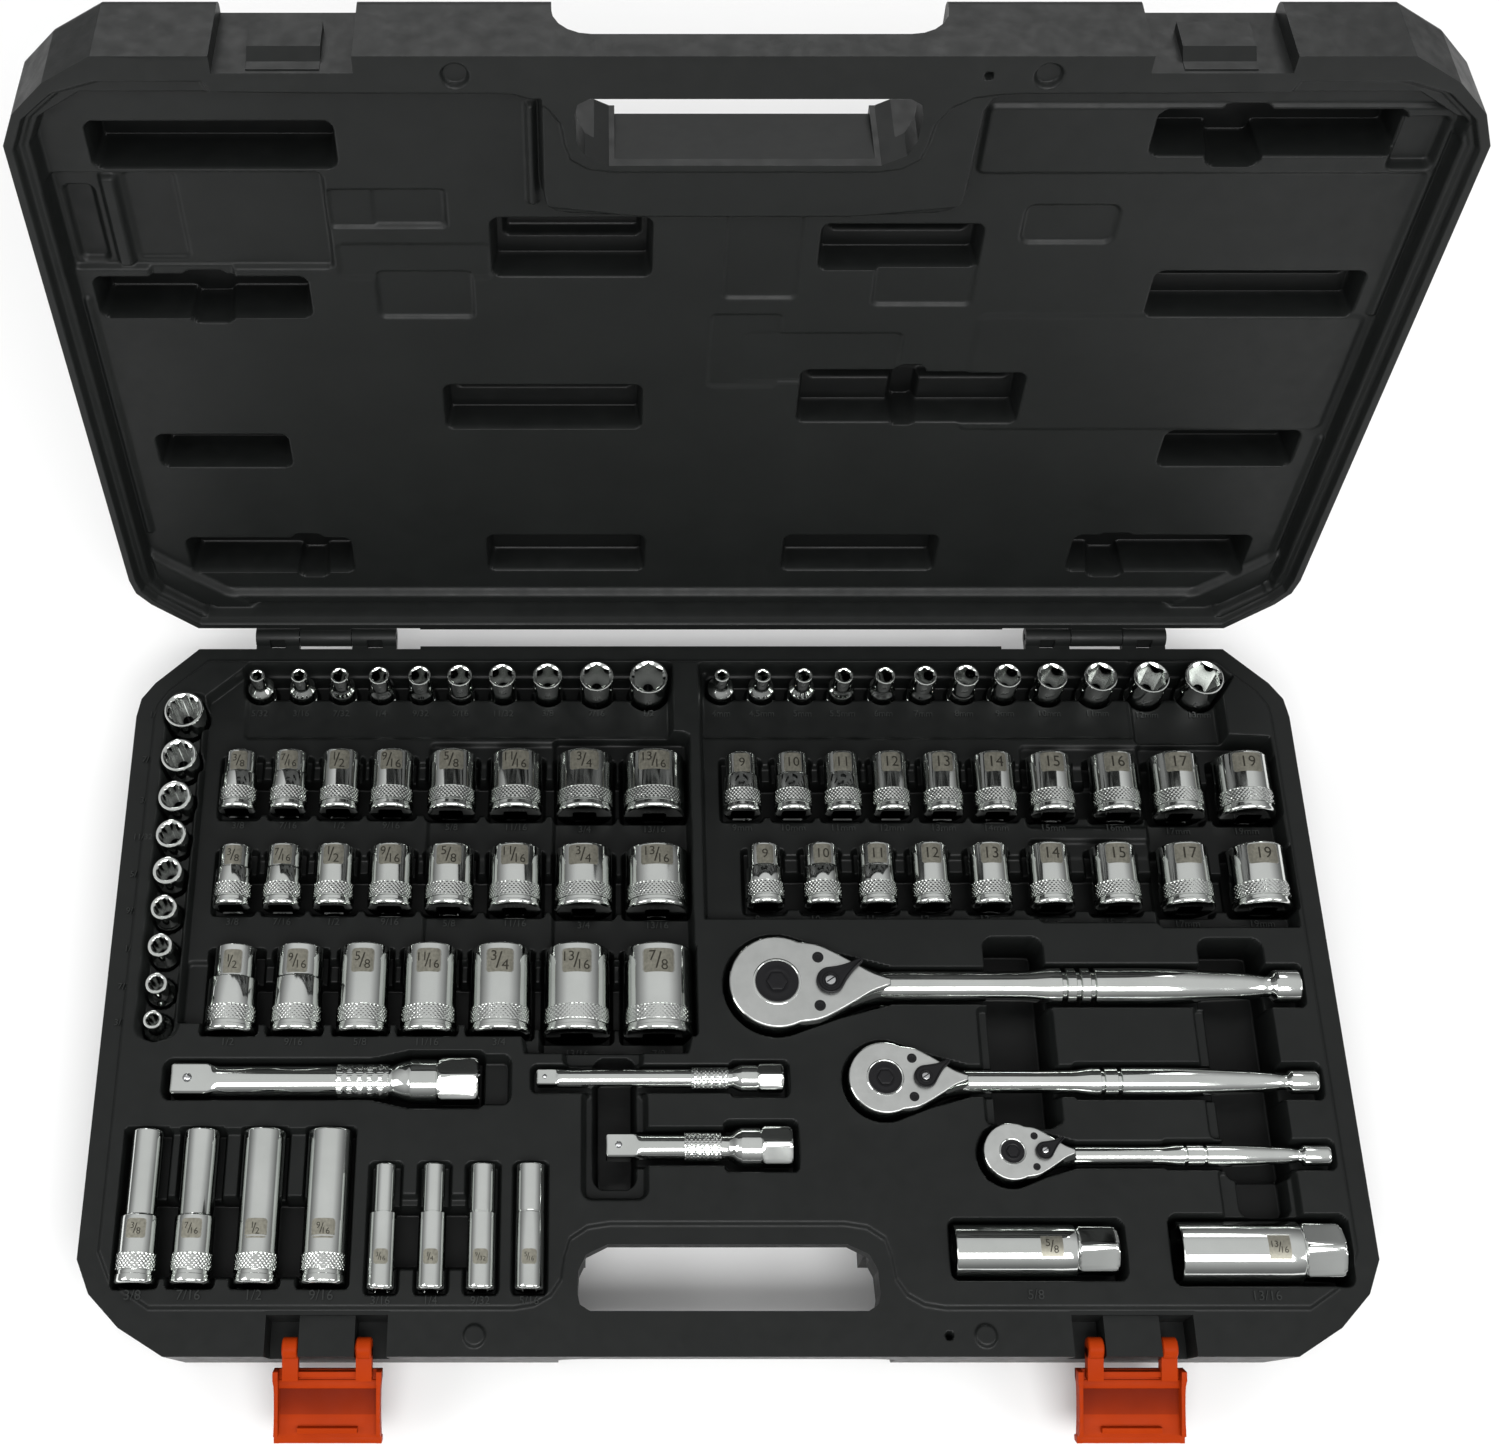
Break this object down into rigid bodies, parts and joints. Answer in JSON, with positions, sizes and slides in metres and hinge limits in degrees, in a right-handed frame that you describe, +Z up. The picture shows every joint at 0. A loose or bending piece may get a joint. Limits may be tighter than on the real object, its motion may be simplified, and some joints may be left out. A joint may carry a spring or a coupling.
{
  "type": "socket wrench set in case",
  "caption": "Hinged carrying case, open, with ratchets, extension bars and rows of chrome sockets seated in a moulded tray; lid, latches, levers and drives move.",
  "frame": {"origin": "centre of the underside of the base", "axes": "+X to the right along the hinge, +Y back to the hinge, +Z up; the lid is shown open, leaning back"},
  "size_m": [0.519, 0.4304, 0.3613],
  "materials": {
    "case_black": "blow-moulded polyethylene, fine grain, half matt",
    "latch_orange": "moulded plastic, half matt",
    "polished_chrome": "polished chrome plate with etched size fields and knurled bands",
    "satin_chrome": "satin chrome plate",
    "bright_steel": "bare bright steel",
    "black_steel": "black oxide, half gloss",
    "black_rubber": "matt rubber"
  },
  "bodies": {
    "base": {"base_shell": "case_black", "tray_back_left": "case_black", "tray_back_middle": "case_black", "tray_back_right": "case_black", "tray_front_left": "case_black", "tray_front_middle": "case_black", "tray_front_right": "case_black", "hinge_pins": "bright_steel"},
    "lid": {"lid_shell": "case_black", "lid_liner_hinge_left": "case_black", "lid_liner_hinge_right": "case_black", "lid_liner_front_left": "case_black", "lid_liner_front_right": "case_black"},
    "latch_left": {"latch_left": "latch_orange"},
    "latch_right": {"latch_right": "latch_orange"},
    "half_ratchet": {"half_ratchet_body": "polished_chrome", "half_ratchet_cover": "satin_chrome", "half_ratchet_screws": "black_steel"},
    "half_ratchet_drive": {"half_ratchet_drive": "black_steel"},
    "half_ratchet_button": {"half_ratchet_button": "black_steel"},
    "half_ratchet_ball": {"half_ratchet_ball": "bright_steel"},
    "half_ratchet_lever": {"half_ratchet_lever": "black_steel", "half_ratchet_pawl": "bright_steel"},
    "mid_ratchet": {"mid_ratchet_body": "polished_chrome", "mid_ratchet_cover": "satin_chrome", "mid_ratchet_screws": "black_steel"},
    "mid_ratchet_drive": {"mid_ratchet_drive": "black_steel"},
    "mid_ratchet_button": {"mid_ratchet_button": "black_steel"},
    "mid_ratchet_ball": {"mid_ratchet_ball": "bright_steel"},
    "mid_ratchet_lever": {"mid_ratchet_lever": "black_steel", "mid_ratchet_pawl": "bright_steel"},
    "small_ratchet": {"small_ratchet_body": "polished_chrome", "small_ratchet_cover": "satin_chrome", "small_ratchet_screws": "black_steel"},
    "small_ratchet_drive": {"small_ratchet_drive": "black_steel"},
    "small_ratchet_button": {"small_ratchet_button": "black_steel"},
    "small_ratchet_ball": {"small_ratchet_ball": "bright_steel"},
    "small_ratchet_lever": {"small_ratchet_lever": "black_steel", "small_ratchet_pawl": "bright_steel"},
    "long_extension": {"long_extension": "polished_chrome"},
    "long_extension_ball": {"long_extension_ball": "bright_steel"},
    "mid_extension": {"mid_extension": "polished_chrome"},
    "mid_extension_ball": {"mid_extension_ball": "bright_steel"},
    "small_extension": {"small_extension": "polished_chrome"},
    "small_extension_ball": {"small_extension_ball": "bright_steel"},
    "plug_socket_small": {"plug_socket_small": "polished_chrome", "plug_socket_small_grip": "black_rubber"},
    "plug_socket_large": {"plug_socket_large": "polished_chrome", "plug_socket_large_grip": "black_rubber"},
    "sockets_twelve_point": {"sockets_twelve_point": "polished_chrome"},
    "sockets_inch_small": {"sockets_inch_small": "polished_chrome"},
    "sockets_metric_small": {"sockets_metric_small": "polished_chrome"},
    "sockets_inch_shallow": {"sockets_inch_shallow": "polished_chrome"},
    "sockets_inch_lower": {"sockets_inch_lower": "polished_chrome"},
    "sockets_metric_upper": {"sockets_metric_upper": "polished_chrome"},
    "sockets_metric_lower": {"sockets_metric_lower": "polished_chrome"},
    "sockets_half_drive": {"sockets_half_drive": "polished_chrome"},
    "sockets_deep": {"sockets_deep": "polished_chrome"},
    "sockets_small_deep": {"sockets_small_deep": "polished_chrome"}
  },
  "joints": [
    {"name": "lid_hinge", "type": "hinge", "parent": "base", "child": "lid", "pos_m": [0, 0.1627, 0.046], "axis": [-1, 0, 0], "range_deg": [-98.96, 0]},
    {"name": "latch_left_hinge", "type": "hinge", "parent": "base", "child": "latch_left", "pos_m": [-0.1585, -0.152, 0.039], "axis": [1, 0, 0], "range_deg": [-115, 0]},
    {"name": "latch_right_hinge", "type": "hinge", "parent": "base", "child": "latch_right", "pos_m": [0.1585, -0.152, 0.039], "axis": [1, 0, 0], "range_deg": [-115, 0]},
    {"name": "half_ratchet_lift", "type": "slide", "parent": "base", "child": "half_ratchet", "axis": [0, 0, 1], "range_m": [0, 0.06]},
    {"name": "half_ratchet_drive_turn", "type": "hinge", "parent": "half_ratchet", "child": "half_ratchet_drive", "pos_m": [0.0234, -0.0052, 0.053], "axis": [0, 0, 1], "continuous": true},
    {"name": "half_ratchet_button_press", "type": "slide", "parent": "half_ratchet_drive", "child": "half_ratchet_button", "axis": [0, 0, -1], "range_m": [0, 0.001], "stiffness_N_per_m": 700, "springref_m": -0.001},
    {"name": "half_ratchet_ball_press", "type": "slide", "parent": "half_ratchet_drive", "child": "half_ratchet_ball", "axis": [1, 0, 0], "range_m": [0, 0.00108], "stiffness_N_per_m": 700, "springref_m": -0.0005},
    {"name": "half_ratchet_lever_turn", "type": "hinge", "parent": "half_ratchet", "child": "half_ratchet_lever", "pos_m": [0.0457, -0.0052, 0.053], "axis": [0, 0, 1], "range_deg": [-60, 0]},
    {"name": "mid_ratchet_lift", "type": "slide", "parent": "base", "child": "mid_ratchet", "axis": [0, 0, 1], "range_m": [0, 0.06]},
    {"name": "mid_ratchet_drive_turn", "type": "hinge", "parent": "mid_ratchet", "child": "mid_ratchet_drive", "pos_m": [0.0663, -0.0466, 0.053], "axis": [0, 0, 1], "continuous": true},
    {"name": "mid_ratchet_button_press", "type": "slide", "parent": "mid_ratchet_drive", "child": "mid_ratchet_button", "axis": [0, 0, -1], "range_m": [0, 0.001], "stiffness_N_per_m": 700, "springref_m": -0.001},
    {"name": "mid_ratchet_ball_press", "type": "slide", "parent": "mid_ratchet_drive", "child": "mid_ratchet_ball", "axis": [1, 0, 0], "range_m": [0, 0.00081], "stiffness_N_per_m": 700, "springref_m": -0.0005},
    {"name": "mid_ratchet_lever_turn", "type": "hinge", "parent": "mid_ratchet", "child": "mid_ratchet_lever", "pos_m": [0.0827, -0.0466, 0.053], "axis": [0, 0, 1], "range_deg": [-60, 0]},
    {"name": "small_ratchet_lift", "type": "slide", "parent": "base", "child": "small_ratchet", "axis": [0, 0, 1], "range_m": [0, 0.06]},
    {"name": "small_ratchet_drive_turn", "type": "hinge", "parent": "small_ratchet", "child": "small_ratchet_drive", "pos_m": [0.1159, -0.0773, 0.053], "axis": [0, 0, 1], "continuous": true},
    {"name": "small_ratchet_button_press", "type": "slide", "parent": "small_ratchet_drive", "child": "small_ratchet_button", "axis": [0, 0, -1], "range_m": [0, 0.001], "stiffness_N_per_m": 700, "springref_m": -0.001},
    {"name": "small_ratchet_ball_press", "type": "slide", "parent": "small_ratchet_drive", "child": "small_ratchet_ball", "axis": [1, 0, 0], "range_m": [0, 0.00054], "stiffness_N_per_m": 700, "springref_m": -0.0005},
    {"name": "small_ratchet_lever_turn", "type": "hinge", "parent": "small_ratchet", "child": "small_ratchet_lever", "pos_m": [0.1287, -0.0773, 0.053], "axis": [0, 0, 1], "range_deg": [-60, 0]},
    {"name": "long_extension_lift", "type": "slide", "parent": "base", "child": "long_extension", "axis": [0, 0, 1], "range_m": [0, 0.06]},
    {"name": "long_extension_ball_press", "type": "slide", "parent": "long_extension", "child": "long_extension_ball", "axis": [0, 0, -1], "range_m": [0, 0.00108], "stiffness_N_per_m": 700, "springref_m": -0.0005},
    {"name": "mid_extension_lift", "type": "slide", "parent": "base", "child": "mid_extension", "axis": [0, 0, 1], "range_m": [0, 0.06]},
    {"name": "mid_extension_ball_press", "type": "slide", "parent": "mid_extension", "child": "mid_extension_ball", "axis": [0, 0, -1], "range_m": [0, 0.00081], "stiffness_N_per_m": 700, "springref_m": -0.0005},
    {"name": "small_extension_lift", "type": "slide", "parent": "base", "child": "small_extension", "axis": [0, 0, 1], "range_m": [0, 0.06]},
    {"name": "small_extension_ball_press", "type": "slide", "parent": "small_extension", "child": "small_extension_ball", "axis": [0, 0, -1], "range_m": [0, 0.00054], "stiffness_N_per_m": 700, "springref_m": -0.0005},
    {"name": "plug_socket_small_lift", "type": "slide", "parent": "base", "child": "plug_socket_small", "axis": [0, 0, 1], "range_m": [0, 0.06]},
    {"name": "plug_socket_large_lift", "type": "slide", "parent": "base", "child": "plug_socket_large", "axis": [0, 0, 1], "range_m": [0, 0.06]},
    {"name": "sockets_twelve_point_lift", "type": "slide", "parent": "base", "child": "sockets_twelve_point", "axis": [0, 0, 1], "range_m": [0, 0.06]},
    {"name": "sockets_inch_small_lift", "type": "slide", "parent": "base", "child": "sockets_inch_small", "axis": [0, 0, 1], "range_m": [0, 0.06]},
    {"name": "sockets_metric_small_lift", "type": "slide", "parent": "base", "child": "sockets_metric_small", "axis": [0, 0, 1], "range_m": [0, 0.06]},
    {"name": "sockets_inch_shallow_lift", "type": "slide", "parent": "base", "child": "sockets_inch_shallow", "axis": [0, 0, 1], "range_m": [0, 0.06]},
    {"name": "sockets_inch_lower_lift", "type": "slide", "parent": "base", "child": "sockets_inch_lower", "axis": [0, 0, 1], "range_m": [0, 0.06]},
    {"name": "sockets_metric_upper_lift", "type": "slide", "parent": "base", "child": "sockets_metric_upper", "axis": [0, 0, 1], "range_m": [0, 0.06]},
    {"name": "sockets_metric_lower_lift", "type": "slide", "parent": "base", "child": "sockets_metric_lower", "axis": [0, 0, 1], "range_m": [0, 0.06]},
    {"name": "sockets_half_drive_lift", "type": "slide", "parent": "base", "child": "sockets_half_drive", "axis": [0, 0, 1], "range_m": [0, 0.06]},
    {"name": "sockets_deep_lift", "type": "slide", "parent": "base", "child": "sockets_deep", "axis": [0, 0, 1], "range_m": [0, 0.06]},
    {"name": "sockets_small_deep_lift", "type": "slide", "parent": "base", "child": "sockets_small_deep", "axis": [0, 0, 1], "range_m": [0, 0.06]}
  ]
}
